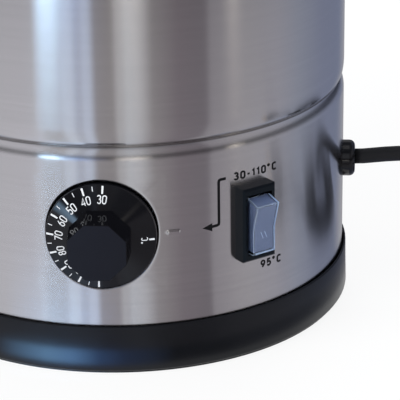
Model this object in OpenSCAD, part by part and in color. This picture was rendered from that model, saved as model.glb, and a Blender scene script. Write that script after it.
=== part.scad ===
// Double-walled hot water urn: steel body on a moulded base, boiling tank hung by its rim,
// thermostat dial at +X, rocker switch beside it, mains lead at +Y and tap with sight gauge at -Y.
// Millimetres, +Z up, origin on the urn's axis at the table.

/* [Body] */
// Outer diameter of the steel body
body_d = 270; // [268:1:276]
// Thickness of the sheet steel
sheet_t = 0.8; // [0.6:0.1:1]
// Height of the body's top edge above the table
body_top = 362; // [360:1:370]
// Height of the rolled groove above the table
groove_z = 137.8; // [137:0.1:139]
// Depth of the rolled groove
groove_depth = 3.5; // [2.5:0.5:4]

/* [Base] */
// How far the moulded base stands out beyond the steel
base_overhang = 2.65; // [2.5:0.05:3]
// Height of the base's top edge above the table
base_top = 29.3; // [28:0.1:31]
// How far the rubber foot lifts the base off the table
foot_h = 1.5; // [1:0.1:2]

/* [Tank] */
// Outer diameter of the boiling tank
tank_d = 244; // [240:1:246]
// Height of the tank's floor, underside
tank_floor = 142; // [141:1:145]

/* [Dial] */
// Height of the dial's centre
dial_z = 84.9; // [82:0.1:88]
// Diameter of the dial's skirt
dial_d = 62.4; // [60:0.1:64]
// Width across the flats of the octagonal grip, at its foot
grip_af = 35; // [32:0.5:36]
// Distance from the dial's back to the grip's front face
dial_h = 28.5; // [26:0.5:30]

/* [Switch] */
// Angle from the dial to the switch, seen from above
switch_angle = 38; // [34:1:44]
// Height of the switch's centre
switch_z = 84; // [80:0.5:88]
// Width of the switch bezel
bezel_w = 22.3; // [22:0.1:24]
// Height of the switch bezel
bezel_h = 44.4; // [43:0.1:46]
// How far the bezel stands off the steel
bezel_out = 8; // [7:0.5:9]
// Tilt of the rocker to each side
rocker_tilt = 7.5; // [6:0.5:8]

/* [Tap] */
// Height of the tap's shank
tap_z = 162; // [161:1:166]
// Radius of the water way
water_r = 6; // [5:0.5:6]
// Distance from the steel to the centre of the tap's barrel
tap_reach = 43; // [42:1:46]

/* [Gauge] */
// Outside radius of the gauge glass
glass_r = 6; // [5:0.5:6]
// Height of the top of the gauge glass
glass_top = 340; // [330:1:342]

/* [Handles] */
// Height of the carrying handles
handle_z = 300; // [280:1:310]
// Distance between a handle's two posts
handle_span = 92; // [80:1:100]
// Radius of the handle's grip
grip_r = 8.5; // [7.5:0.5:9]

/* [Lid] */
// Rise of the lid's dome over its rim
dome_rise = 17; // [12:1:22]
// Diameter of the lid knob
knob_d = 38; // [34:1:42]

/* [Mains lead] */
// Diameter of the mains lead
cord_d = 9.2; // [9.2:0.1:9.3]
// Height of the gland's centre
gland_z = 81.5; // [80:0.5:84]

/* [Hidden] */
$fn = 96;
fit = 0.05;                          // running clearance of a shaft in its hole
through = 2;                         // how far a cutter runs past what it cuts
R = body_d / 2;
R_in = R - sheet_t;
skin_bottom = 20;                    // the steel stands on a ledge this high in the base
flange_in = R - 17;                  // inner edge of the steel's bottom flange
base_r = R + base_overhang;
plate_top = 8;
plate_t = 1.2;
base_screw_r = R - 12;               // radius of the circle of the base screws
shoulder_r = 14.6;                   // rounding of the steel under the groove
brow_r = 6;                          // rounding of the steel over the groove
dial_back = R - 3;
dial_front = dial_back + dial_h;
recess_r = dial_d / 2 + 1.8;
recess_x = sqrt(R * R - recess_r * recess_r) - 0.6;   // the flat's distance from the axis
screw_pitch = 14;                    // each thermostat screw's distance from the dial's axis
bezel_x = R + bezel_out;
opening_w = 16.4;
opening_h = 36.2;
pivot_x = bezel_x - 6;
cap_w = 15;
cap_t = 1;
tank_r = tank_d / 2;
tank_t = 0.8;
rim_top = body_top + 4.5;
plate_z = tank_floor - 6;            // underside of the heat plate
element_gap = 40;                    // angle between the heating element's two ends
element_r = 60;
bulb_z = plate_z - 3.2;
bulb_y = [-2, -32];
bulb_end = 30;
cutout_x = 30;
cutout_y = 55;
tab = 3.15;                          // half the width of a push-on terminal's tab
tab_t = 0.8;
shank_r = 9.5;                       // the tap's shank
tap_y = R + tap_reach;               // distance of the tap's barrel from the urn's axis
spout_z = tap_z - 36;
seat_z = tap_z - 8;
bonnet_z = tap_z + 18;
pivot_z = tap_z + 46;
pivot_y = tap_y + 9;
glass_y = R + 14;
glass_foot = tap_z + 16;
post_x = R + 20;                     // where a handle's posts turn into its grip
turn_r = 18;
lid_z = rim_top + 0.1;
dome_edge = tank_r - 5;
dome_r = (dome_edge * dome_edge + dome_rise * dome_rise) / (2 * dome_rise);
dome_end = asin(dome_edge / dome_r);
dome_peak = lid_z + sheet_t + dome_rise;
knob_foot = dome_peak + 1;
cord_r = cord_d / 2;
gland_out = R + 7.3;
lift = 0.8;                          // the coil lies on its tie, which is this thick
coil_in = 38;                        // radius of the innermost turn
coil_out = 66.8;                     // radius of the outermost turn, in the lower layer
coil_top_out = 56.4;                 // radius of the outermost turn, in the upper layer
coil_y = 270;
coil_x = -coil_top_out;
plug_x = 55;
plug_y = 315;
plug_z = 11;
// The lead from the gland to the coil, then from the coil to the plug
lead_route = [
    [0, 142.3, 82.5], [0, 147, 82.6], [0, 153, 83.2], [0, 161, 84], [0, 169, 84.5], [0, 178, 84.5],
    [0, 189.5, 83], [0, 200.5, 78.5], [0, 210, 71.5], [0, 217, 62], [0, 222, 50],
    [0, 226.5, 37.5], [0, 234, 28], [0, 243, 21], [0, 254, 16.5], [0, 265.5, 14.6], [0, 274, 14.6]];
tail_route = [
    [10.4, 266, 5.4], [10.4, 270, 5.4], [11, 277, 5.4], [12.6, 284, 5.4], [15.3, 290.5, 5.4],
    [19, 296.5, 5.4], [23.6, 302, 5.8], [29, 306.5, 6.7], [35, 310, 8.2], [41.5, 312.8, 9.7],
    [48.4, 314.6, 10.8], [55, 315, 11]];

// Points along an arc, from angle a to angle b
function arc(cx, cy, r, a, b, n = 8) =
    [for (i = [0:n]) let (t = a + (b - a) * i / n) [cx + r * cos(t), cy + r * sin(t)]];
function backwards(list) = [for (i = [len(list) - 1:-1:0]) list[i]];
function unit(v) = v / norm(v);
function tangent(path, i) = unit(path[min(i + 1, len(path) - 1)] - path[max(i - 1, 0)]);

// A round bar along X, along Y, and along Z
module bar_x(r, from, to) translate([from, 0, 0]) rotate([0, 90, 0]) cylinder(r = r, h = to - from);
module bar_y(r, from, to) translate([0, to, 0]) rotate([90, 0, 0]) cylinder(r = r, h = to - from);
module bar_z(r, from, to) translate([0, 0, from]) cylinder(r = r, h = to - from);

// A tube standing on the axis
module ring_z(inner, outer, from, to) {
    difference() {
        bar_z(outer, from, to);
        bar_z(inner, from - 1, to + 1);
    }
}

// A block between two corners
module block(low, high) translate(low) cube(high - low);

// A block that is centred on Y and Z, from one distance to another along X
module block_x(from, to, w, h) block([from, -w / 2, -h / 2], [to, w / 2, h / 2]);

// A swept tube, for wires and leads: up is any direction that the path never takes
module tube_along(path, r, sides, up) {
    rings = len(path);
    points = [for (i = [0:rings - 1])
        let (t = tangent(path, i), u = unit(cross(up, t)), v = cross(t, u))
        for (k = [0:sides - 1])
            path[i] + r * (cos(360 * k / sides) * u + sin(360 * k / sides) * v)];
    walls = [for (i = [0:rings - 2], k = [0:sides - 1], half = [0, 1])
        let (a = i * sides + k, b = i * sides + (k + 1) % sides)
        half == 0 ? [a, a + sides, b + sides] : [a, b + sides, b]];
    ends = [[for (k = [0:sides - 1]) k],
        [for (k = [sides - 1:-1:0]) (rings - 1) * sides + k]];
    polyhedron(points, concat(walls, ends));
}

// The same thing on the four corners, or on both sides of the XZ plane
module four_times() for (i = [0:3]) rotate([0, 0, 45 + 90 * i]) children();
module both_sides() {
    children();
    mirror([0, 1, 0]) children();
}

// Half of the steel's outline, t inside its surface, from the foot to the top
function skin_edge(t) =
    let (shoulder_end = acos((shoulder_r - groove_depth) / shoulder_r),
        brow_end = acos((brow_r - groove_depth) / brow_r))
    concat(
        arc(R - shoulder_r, groove_z - shoulder_r * sin(shoulder_end) - 0.4, shoulder_r - t,
            0, shoulder_end),
        arc(R - brow_r, groove_z + brow_r * sin(brow_end) + 0.4, brow_r - t, -brow_end, 0),
        [[R - t, body_top]]);

// Where the dial sits, the steel is pressed flat
module dial_recess_floor() {
    translate([0, 0, dial_z]) intersection() {
        difference() {
            bar_x(recess_r + sheet_t, recess_x - sheet_t, R + through);
            bar_x(recess_r, recess_x, R + 2 * through);
        }
        bar_z(R, -2 * recess_r, 2 * recess_r);
    }
}

// A small raised pip beside the dial marks where its scale is read
module index_pip() {
    pip_r = 1.5;
    pip_half = 2.6;
    pip_turn = 17.3;
    rotate([0, 0, pip_turn]) translate([R - 1.0, 0, dial_z + 0.4]) {
        bar_y(pip_r, -pip_half, pip_half);
        for (end = [-pip_half, pip_half]) translate([0, end, 0]) sphere(r = pip_r);
    }
}

module outer_skin() color("silver") {
    difference() {
        union() {
            rotate_extrude() polygon(concat(
                [[flange_in, skin_bottom], [R, skin_bottom]], skin_edge(0),
                backwards(skin_edge(sheet_t)),
                [[R_in, skin_bottom + sheet_t], [flange_in, skin_bottom + sheet_t]]));
            index_pip();
        }
        translate([0, 0, dial_z]) bar_x(recess_r, R / 2, R + through);
        rotate([0, 0, switch_angle]) translate([0, 0, switch_z])
            block_x(R / 2, R + through, bezel_w - 1.9, bezel_h - 3);
        translate([0, 0, gland_z]) bar_y(8.1, R / 2, R + through);
        translate([0, 0, tap_z]) bar_y(10, -R - through, -R / 2);
        translate([0, 0, glass_top - 1]) bar_y(2.1, -R - through, -R / 2);
        for (y = [-handle_span / 2, handle_span / 2]) translate([0, y, handle_z])
            bar_x(2.7, -R - through, R + through);
        four_times() translate([base_screw_r, 0, 0])
            bar_z(2 + fit, skin_bottom - 1, skin_bottom + 2);
    }
    difference() {
        dial_recess_floor();
        translate([0, 0, dial_z]) bar_x(5.5, R / 2, R);
        for (z = [-screw_pitch, screw_pitch]) translate([0, 0, dial_z + z]) bar_x(2.1, R / 2, R);
    }
}

module base_ring() color([0.06, 0.06, 0.07]) {
    wall_in = base_r - 4;
    rim_in = base_r - 8.7;
    slot_out = base_r - 1.6;
    slot_in = base_r - 6.2;
    lip_in = R + 1;
    taper = 0.5;
    difference() {
        union() {
            rotate_extrude() polygon(concat(
                [[rim_in, foot_h], [slot_in, foot_h], [slot_in, foot_h + 3.5],
                    [slot_out, foot_h + 3.5], [slot_out, foot_h]],
                arc(base_r - 1.4, foot_h + 1.4, 1.4, -90, 0, 4),
                arc(base_r - taper - 0.9, base_top - 0.9, 0.9, 0, 90, 4),
                [[lip_in, base_top - 0.3], [lip_in, skin_bottom], [flange_in, skin_bottom],
                    [flange_in, skin_bottom - 3], [wall_in, skin_bottom - 3],
                    [wall_in, plate_top], [rim_in, plate_top]]));
            four_times() translate([base_screw_r, 0, 0]) bar_z(5, plate_top, skin_bottom - 2);
        }
        four_times() translate([base_screw_r, 0, 0])
            bar_z(2.2, plate_top - 1, skin_bottom + 1);
    }
}

module foot_ring() color([0.12, 0.12, 0.12]) {
    ring_z(base_r - 6, base_r - 1.8, 0, foot_h + 3.5);
}

module bottom_plate() color("lightgray") {
    vent_holes = 12;
    difference() {
        bar_z(base_r - 9.15, plate_top - plate_t, plate_top);
        four_times() translate([base_screw_r, 0, 0]) bar_z(2.3, 0, 2 * plate_top);
        translate([cutout_x, cutout_y, 0]) bar_z(5.2, 0, 2 * plate_top);
        for (r = [24, 34], i = [0:vent_holes - 1])
            rotate([0, 0, 360 * i / vent_holes]) translate([r, 0, 0]) bar_z(2.5, 0, 2 * plate_top);
    }
}

module base_screws() color("gainsboro") {
    head = plate_top - plate_t;
    four_times() translate([base_screw_r, 0, 0]) difference() {
        union() {
            bar_z(4, head - 2.5, head);
            bar_z(2, head, skin_bottom + 3);
        }
        for (turn = [0, 90]) rotate([0, 0, turn])
            block([-2, -0.4, head - 3], [2, 0.4, head - 1.2]);
    }
}

module inner_tank() color("lightsteelblue") {
    corner = 8;
    difference() {
        rotate_extrude() polygon(concat(
            [[0, tank_floor], [tank_r - corner, tank_floor]],
            arc(tank_r - corner, tank_floor + corner, corner, -90, 0),
            [[tank_r, body_top], [R, body_top], [R, body_top + tank_t],
                [tank_r - tank_t, body_top + tank_t]],
            backwards(arc(tank_r - corner, tank_floor + corner, corner - tank_t, -90, 0)),
            [[0, tank_floor + tank_t]]));
        translate([0, 0, tap_z]) bar_y(10, -R, -R / 2);
    }
}

module rim_ring() color("silver") {
    outer = R + 1.1;
    inner = tank_r - 2;
    rotate_extrude() polygon(concat(
        [[outer - 1, body_top - 7], [outer, body_top - 7]],
        arc(outer - 3, rim_top - 3, 3, 0, 90, 5),
        arc(inner + 3, rim_top - 3, 3, 90, 180, 5),
        [[inner, body_top - 7], [inner + 1, body_top - 7],
            [inner + 1, body_top + tank_t + 0.1], [outer - 1, body_top + tank_t + 0.1]]));
}

// Heating under the tank's floor
module heat_plate() color("gainsboro") {
    bar_z(80, plate_z, tank_floor);
}

module heating_element() color("dimgray") {
    rotate([0, 0, element_gap / 2]) translate([0, 0, plate_z])
        rotate_extrude(angle = 360 - element_gap) translate([element_r, 0])
            polygon(concat([[4, 0]], backwards(arc(0, -4, 4, -180, 0)), [[-4, 0]]));
}

module element_terminals() color("gold") {
    for (side = [-1, 1]) rotate([0, 0, side * (element_gap / 2 - 4)])
        translate([element_r, 0, 0]) {
            bar_z(3, plate_z - 26, plate_z - 1);
            block([-tab_t / 2, -tab, plate_z - 38], [tab_t / 2, tab, plate_z - 26]);
        }
}

module preset_thermostat() color([0.25, 0.2, 0.16]) {
    translate([-32, 18, 0]) {
        bar_z(8, plate_z - 10, plate_z - 1);
        block([-12, -5, plate_z - 1], [12, 5, plate_z]);
        for (x = [-4, 4]) block([x - tab_t / 2, -tab, plate_z - 20], [x + tab_t / 2, tab, plate_z - 10]);
    }
}

module sensor_bulbs() color("peru") {
    for (y = bulb_y) translate([0, y, bulb_z]) bar_x(3, -40, bulb_end);
}

module bulb_clips() color("silver") {
    for (y = bulb_y, x = [-26, 14]) translate([x, y, 0]) difference() {
        block([-4, -5, plate_z - 7], [4, 5, plate_z]);
        translate([0, 0, bulb_z]) bar_x(3 + fit, -5, 5);
        block([-5, -2.2, plate_z - 8], [5, 2.2, plate_z - 4]);
    }
}

module capillaries() color("sienna") {
    tube_along([[bulb_end, bulb_y[0], bulb_z], [36, bulb_y[0], bulb_z], [50, bulb_y[0], bulb_z - 3],
        [62, bulb_y[0], bulb_z - 11], [74, bulb_y[0], bulb_z - 22], [88, bulb_y[0] - 2, dial_z + 20],
        [97, bulb_y[0] - 4, dial_z + 14], [recess_x - sheet_t - 26, bulb_y[0] - 4, dial_z + 12]],
        1, 8, [0.2, 1, 0.1]);
    tube_along([[bulb_end, bulb_y[1], bulb_z], [34, bulb_y[1], bulb_z - 2],
        [41, bulb_y[1], bulb_z - 14], [46, bulb_y[1] + 5, 100], [56, -10, 86], [62, 18, 66],
        [54, 42, 48], [42, 52, 40], [38, 55, 36], [38, 55, plate_top + 24]], 1, 8, [0.9, 0.5, 0.2]);
}

// Thermostat behind the dial
module thermostat_body() color([0.85, 0.82, 0.75]) {
    front = recess_x - sheet_t;
    translate([0, 0, dial_z]) difference() {
        union() {
            block_x(front - 26, front - 1, 36, 40);
            block_x(front - 1.5, front, 20, 38);
            bar_x(5.3, front - 1, front + 2);
            for (y = [-8, 8]) block([front - 36, y - tab, -12], [front - 25, y + tab, tab_t - 12]);
        }
        bar_x(3 + fit, front - 20, front + 3);
        for (z = [-screw_pitch, screw_pitch]) translate([0, 0, z])
            bar_x(2 + fit, front - 12, front + 1);
    }
}

module thermostat_screws() color("gainsboro") {
    for (z = [-screw_pitch, screw_pitch]) translate([0, 0, dial_z + z]) difference() {
        union() {
            bar_x(3.5, recess_x, recess_x + 2);
            bar_x(2, recess_x - 9, recess_x);
        }
        block([recess_x + 1, -3, -0.5], [recess_x + 3, 3, 0.5]);
    }
}

module dial_spindle() color("gainsboro") {
    translate([0, 0, dial_z]) difference() {
        bar_x(3, recess_x - 18, dial_front - 9);
        block([recess_x + 6, -4, 1.8], [dial_front, 4, 4]);
    }
}

module dial_knob() color([0.05, 0.05, 0.06]) {
    skirt_front = dial_back + 5;
    grip_foot = dial_back + 9;
    skirt_r = dial_d / 2;
    grip_r1 = grip_af / 2 / cos(22.5);
    grip_r2 = grip_r1 - 1.2;
    translate([0, 0, dial_z]) difference() {
        union() {
            bar_x(skirt_r, dial_back, skirt_front);
            translate([skirt_front, 0, 0]) rotate([0, 90, 0])
                cylinder(r1 = skirt_r - 0.2, r2 = grip_af / 2 + 1, h = grip_foot - skirt_front);
            translate([skirt_front, 0, 0]) rotate([0, 90, 0]) rotate([0, 0, 22.5])
                cylinder(r1 = grip_r1, r2 = grip_r2, h = dial_front - skirt_front, $fn = 8);
        }
        difference() {
            union() {
                bar_x(skirt_r - 2.5, dial_back - 1, dial_back + 3.5);
                bar_x(13.5, dial_back, dial_front - 2.5);
            }
            bar_x(5.5, dial_back + 0.5, dial_front);
        }
        bar_x(3 + fit, dial_back, dial_front - 8);
    }
}

// Cut-out that is reset by a button under the base
module cutout_body() color([0.3, 0.28, 0.26]) {
    translate([cutout_x, cutout_y, 0]) difference() {
        union() {
            block([-15, -12, plate_top], [15, 12, plate_top + 24]);
            bar_z(5, plate_top - 5, plate_top + 1);
            for (y = [-6, 6]) block([-22, y - tab, plate_top + 12], [-15, y + tab, plate_top + 12 + tab_t]);
        }
        bar_z(3.1, plate_top - 6, plate_top + 14);
    }
}

module cutout_nut() color("gainsboro") {
    translate([cutout_x, cutout_y, 0]) difference() {
        bar_z_hex(8, plate_top - plate_t - 2.4, plate_top - plate_t);
        bar_z(5 + fit, 0, plate_top);
    }
}

module bar_z_hex(r, from, to) translate([0, 0, from]) cylinder(r = r, h = to - from, $fn = 6);

module reset_button() color("firebrick") {
    translate([cutout_x, cutout_y, 0]) {
        bar_z(3, 2.4, plate_top + 10);
    }
}

module terminal_block() color("ivory") {
    translate([-30, 78, 0]) difference() {
        block([-22, -10, plate_top], [22, 10, plate_top + 18]);
        for (x = [-14, 0, 14]) translate([x, 0, plate_top + 9]) bar_y(3, -11, 11);
        for (x = [-14, 0, 14], y = [-5, 5]) translate([x, y, 0])
            bar_z(2.5, plate_top + 12, plate_top + 20);
    }
}

module earth_stud() color("goldenrod") {
    translate([20, 92, 0]) {
        bar_z(2.5, plate_top, plate_top + 14);
        difference() {
            bar_z_hex(4.6, plate_top + 5, plate_top + 9);
            bar_z(2.5 + fit, plate_top, plate_top + 20);
        }
    }
}

module internal_wires() color("saddlebrown") {
    wire_r = 1.4;
    up = [0.3, 0.2, 0.9];
    port_z = plate_top + 9;
    tube_along([[0, R - 17, gland_z], [0, 110, gland_z], [-3, 104, gland_z - 10],
        [-9, 101, gland_z - 30], [-14, 100, 36], [-16, 98, 23], [-16, 94, 18], [-16, 88, port_z]],
        2.8, 8, [1, 0.1, 0]);
    for (i = [0:2]) tube_along([[-44 + 14 * i, 68, port_z], [-43 + 14 * i, 58, 24],
        [-30 + 16 * i, 46, 46], [0 + 14 * i, 34, 70], [34 + 8 * i, 22 + 4 * i, 86],
        [48 + 4 * i, 12 + 6 * i, 93], [54, 8 + 9 * i, 97 - 4 * i]], wire_r, 8, up);
    tube_along([[-30, 73, 21], [-28, 70, 36], [-18, 68, 54], [6, 66, 70], [40, 62, 82],
        [68, 56, 86], [76, 60, 88]], wire_r, 8, up);
    tube_along([[13.9, 92, 15.5], [8, 91, 22], [0, 88, 30], [-8, 85, 34], [-15, 83, 30], [-16, 83, 21]],
        wire_r, 8, up);
}

// Rocker switch, built facing +X and then turned to its place
module at_switch() rotate([0, 0, switch_angle]) translate([0, 0, switch_z]) children();

module switch_frame() color([0.07, 0.07, 0.08]) at_switch() {
    edge = 1.2;
    difference() {
        union() {
            block_x(R - 4, bezel_x - edge, bezel_w, bezel_h);
            block_x(R - 4, bezel_x, bezel_w - 2 * edge, bezel_h - 2 * edge);
            chamfered_front(edge);
        }
        block_x(R - 5, bezel_x + 1, opening_w, opening_h);
        translate([pivot_x, 0, 0]) bar_y(1.5 + fit, -opening_w / 2 - 1.4, opening_w / 2 + 1.4);
        translate([0, 0, -switch_z]) bar_z(R, 0, 2 * switch_z);
    }
}

// The bezel's front edge is broken all round by this much
module chamfered_front(edge) {
    hull() {
        block_x(bezel_x - edge - 0.1, bezel_x - edge, bezel_w, bezel_h);
        block_x(bezel_x - 0.1, bezel_x, bezel_w - 2 * edge, bezel_h - 2 * edge);
    }
}

module switch_body() color([0.09, 0.09, 0.1]) at_switch() {
    front = R - 0.8;
    difference() {
        block_x(front - 24, front, bezel_w - 2.5, bezel_h - 3.6);
        block_x(front - 9, front + 1, opening_w - 1.4, opening_h - 1);
    }
}

module switch_terminals() color("gold") at_switch() {
    back = R - 24.8;
    for (z = [-12, 0, 12], y = [-5, 5])
        block([back - 9, y - tab_t / 2, z - tab], [back, y + tab_t / 2, z + tab]);
}

// The rocker and its clear cap share a shallow V front, drawn in its middle position
module at_rocker() at_switch() translate([pivot_x, 0, 0]) rotate([0, rocker_tilt, 0]) children();

// Half outline of the V front: foot, corner and middle, mirrored to both ends
module vee(width, foot_u, foot_w, corner_u, corner_w, middle_u) {
    translate([0, width / 2, 0]) rotate([90, 0, 0]) linear_extrude(width)
        polygon([[foot_u, -foot_w], [corner_u, -corner_w], [middle_u, 0],
            [corner_u, corner_w], [foot_u, foot_w]]);
}

module rocker() color([0.1, 0.12, 0.2]) at_rocker() {
    inner_w = cap_w - 2 * cap_t - 0.2;
    vee(inner_w, 0.5, 15.5, 10.7, 14.1, 9.1);
    bar_y(1.5, -opening_w / 2 - 1.2, opening_w / 2 + 1.2);
    block([-5, -3, -5], [1, 3, 5]);
}

module switch_cap() color([0.45, 0.6, 0.85, 0.5]) at_rocker() difference() {
    vee(cap_w, 2.2, 16.9, 12.3, 15.4, 10.3);
    vee(cap_w - 2 * cap_t, 1.2, 15.9, 11.0, 14.4, 9.3);
    block([0, -cap_w, -20], [2.2, cap_w, 20]);
}

// Cord gland at the back of the urn
module cord_gland() color([0.05, 0.05, 0.06]) {
    head_r = 11;
    round_r = 3.5;
    translate([0, 0, gland_z]) rotate([0, 0, 90]) difference() {
        union() {
            rotate([0, 90, 0]) rotate_extrude() polygon(concat(
                [[0, R - 2], [head_r, R - 2]],
                arc(head_r - round_r, gland_out - round_r, round_r, 0, 90, 6),
                [[0, gland_out]]));
        }
        translate([0, 0, -gland_z]) bar_z(R, 0, 2 * gland_z);
    }
    translate([0, 0, gland_z]) bar_y(8, R - 17, R + 2);
}

module gland_nut() color([0.08, 0.08, 0.09]) {
    translate([0, 0, gland_z]) difference() {
        translate([0, R - 2, 0]) rotate([90, 0, 0]) cylinder(r = 14, h = 6, $fn = 6);
        bar_y(8 + fit, R - 10, R);
    }
}

// Mains lead: straight stretch, wound coil with its tie, and the end at the plug
module mains_cord() color([0.04, 0.04, 0.04]) tube_along(lead_route, cord_r, 12, [1, 0, 0]);

module cord_tail() color([0.04, 0.04, 0.04]) tube_along(tail_route, cord_r, 12, [0, 0, 1]);

module cord_coil() color([0.04, 0.04, 0.04]) {
    translate([coil_x, coil_y, lift]) rotate_extrude() polygon([
        [coil_in - cord_r + 1, 0], [coil_out + cord_r - 1, 0],
        [coil_out + cord_r, 1], [coil_out + cord_r, cord_d - 1],
        [coil_out + cord_r - 1, cord_d], [coil_top_out + cord_r, cord_d],
        [coil_top_out + cord_r, 2 * cord_d - 1], [coil_top_out + cord_r - 1, 2 * cord_d],
        [coil_in - cord_r + 1, 2 * cord_d], [coil_in - cord_r, 2 * cord_d - 1],
        [coil_in - cord_r, 1]]);
}

module coil_tie() color([0.1, 0.1, 0.12]) {
    tie_w = 10;
    inner = coil_in - cord_r;
    outer = coil_out + cord_r;
    step_r = coil_top_out + cord_r;
    top = lift + 2 * cord_d;
    translate([coil_x, coil_y, 0]) rotate([0, 0, 180]) difference() {
        union() {
            block([inner - lift, -tie_w / 2, 0], [step_r + lift, tie_w / 2, top + lift]);
            block([inner - lift, -tie_w / 2, 0], [outer + lift, tie_w / 2, lift + cord_d + lift]);
        }
        ring_z(inner, step_r, lift, top);
        ring_z(inner, outer, lift, lift + cord_d);
    }
}

module plug_body() color([0.05, 0.05, 0.05]) {
    translate([plug_x, plug_y, plug_z]) {
        rotate([0, 90, 0]) cylinder(r1 = 5.6, r2 = 7.5, h = 18);
        difference() {
            block([17, -15, -11], [50, 15, 11]);
            for (y = [-15, 15]) translate([17, y, 0]) rotate([0, 0, 45])
                block([-6, -6, -12], [6, 6, 12]);
        }
    }
}

module plug_pins() color("gainsboro") {
    for (turn = [0, 120, 240]) translate([plug_x + 50, plug_y, plug_z]) rotate([turn, 0, 0])
        block([0, -0.8, 4.5], [17, 0.8, 10.5]);
}

// Tap, built facing -Y
module at_tap() translate([0, -tap_y, 0]) children();

module tap_body() color([0.06, 0.06, 0.06]) {
    difference() {
        union() {
            translate([0, 0, tap_z]) bar_y(shank_r, -tap_y + 4, -R + 27);
            translate([0, 0, tap_z]) bar_y(11.5, -tap_y + 2, -R - 26);
            at_tap() {
                bar_z(13, seat_z - 4, bonnet_z);
                translate([0, 0, seat_z - 12]) cylinder(r1 = 9, r2 = 13, h = 8);
                bar_z(9, spout_z, seat_z - 12);
            }
        }
        translate([0, 0, tap_z]) bar_y(water_r, -tap_y + 5, -R + 28);
        translate([0, -glass_y, 0]) bar_z(2.5, tap_z + 3, tap_z + 12);
        at_tap() {
            bar_z(water_r, spout_z - 1, seat_z + 1);
            bar_z(9.6, seat_z, bonnet_z + 1);
        }
    }
}

module tap_washers() color("whitesmoke") {
    translate([0, 0, tap_z]) {
        difference() {
            bar_y(17, -R - 3, -R + 4);
            bar_y(shank_r + fit, -R - 4, -R + 5);
            translate([0, 0, -tap_z]) bar_z(R, 0, 2 * tap_z);
        }
        intersection() {
            difference() {
                bar_y(12, -tank_r, -tank_r + 6);
                bar_y(shank_r + fit, -tank_r - 1, -tank_r + 7);
            }
            translate([0, 0, -tap_z]) bar_z(tank_r - tank_t, 0, 2 * tap_z);
        }
    }
}

module tap_nut() color("gainsboro") {
    translate([0, -tank_r + 6, tap_z]) difference() {
        rotate([-90, 0, 0]) cylinder(r = 15, h = 7, $fn = 6);
        bar_y(shank_r + fit, -1, 8);
    }
}

module tap_bonnet() color([0.07, 0.07, 0.07]) at_tap() {
    rib_count = 12;
    difference() {
        union() {
            bar_z(14.5, bonnet_z, bonnet_z + 12);
            bar_z(8.6, bonnet_z - 5, bonnet_z);
            for (i = [0:rib_count - 1]) rotate([0, 0, 360 * i / rib_count])
                translate([14.2, 0, 0]) bar_z(1.2, bonnet_z + 2, bonnet_z + 10);
            block([-4, -13, bonnet_z + 11], [4, -5, pivot_z]);
            translate([0, -9, pivot_z]) bar_x(4, -4, 4);
        }
        bar_z(3 + fit, bonnet_z - 6, bonnet_z + 13);
        bar_z(6.6, bonnet_z - 6, bonnet_z + 7);
        translate([0, -9, pivot_z]) bar_x(2 + fit, -5, 5);
    }
}

module lever_pin() color("gainsboro") translate([0, -pivot_y, pivot_z]) bar_x(2, -9, 9);

module tap_spring() color("silver") at_tap() {
    turns = 5;
    per_turn = 14;
    low = seat_z + 9.7;
    high = bonnet_z + 6.2;
    tube_along([for (i = [0:turns * per_turn])
        let (a = 360 * i / per_turn, z = low + (high - low) * i / (turns * per_turn))
        [5 * cos(a), 5 * sin(a), z]], 0.6, 6, [0, 0, 1]);
}

module tap_lever() color([0.05, 0.05, 0.05]) translate([0, -pivot_y, pivot_z]) {
    cheek = 4.4;
    cheek_t = 3.6;
    rise = 8;
    reach = 56;
    pin_slot = 1.9;
    difference() {
        union() {
            for (side = [0, 1]) mirror([side, 0, 0]) {
                bar_x_at(cheek, cheek + cheek_t, 5, 0, 0);
                bar_x_at(cheek, cheek + cheek_t, 5, 9, 0);
                block([cheek, 0, -5], [cheek + cheek_t, 9, 5]);
            }
            rotate([-rise, 0, 0]) {
                block([-8, -16, -3.5], [8, -6, 3.5]);
                block([cheek, -10, -4], [8, 0, 4]);
                block([-8, -10, -4], [-cheek, 0, 4]);
                block([-8, -reach + 8, -3], [8, -15, 3]);
                translate([0, -reach + 8, 0]) bar_z(8, -3, 3);
            }
        }
        bar_x(2 + fit, -9, 9);
        translate([0, 9, 0]) bar_x(pin_slot, -9, 9);
        translate([0, 10.6, 0]) bar_x(pin_slot, -9, 9);
        block([-9, 9, -pin_slot], [9, 10.6, pin_slot]);
    }
}

// A disc square to X at a place in the YZ plane
module bar_x_at(from, to, r, y, z) translate([0, y, z]) bar_x(r, from, to);

module tap_stem() color("gainsboro") at_tap() {
    bar_z(3, seat_z + 3, pivot_z + 4);
    ring_z(2.9, 5.6, seat_z + 8, seat_z + 9);
    translate([0, 0, pivot_z]) bar_x(1.6, -8, 8);
}

module tap_seat_cup() color("whitesmoke") at_tap() difference() {
    union() {
        bar_z(7.8, seat_z + 0.1, seat_z + 3);
        bar_z(4.8, seat_z + 3, seat_z + 8);
    }
    bar_z(3, seat_z + 3, seat_z + 9);
}

// Sight gauge over the tap
module gauge_tee() color([0.06, 0.06, 0.06]) {
    bottom = tap_z - 13;
    difference() {
        union() {
            block([-11, -R - 23, bottom], [11, -R - 3, tap_z + 13]);
            translate([0, -glass_y, 0]) bar_z(10, tap_z + 13, tap_z + 24);
        }
        translate([0, 0, tap_z]) bar_y(shank_r + fit, -R - 24, -R - 2);
        translate([0, -glass_y, 0]) {
            bar_z(glass_r + 0.3, glass_foot, tap_z + 25);
            bar_z(2.5, tap_z, glass_foot + 1);
        }
    }
}

module gauge_seals() color("dimgray") translate([0, -glass_y, 0]) {
    ring_z(glass_r, glass_r + 3, tap_z + 24, tap_z + 26.5);
    ring_z(glass_r, glass_r + 3, glass_top - 12.5, glass_top - 10);
}

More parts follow.
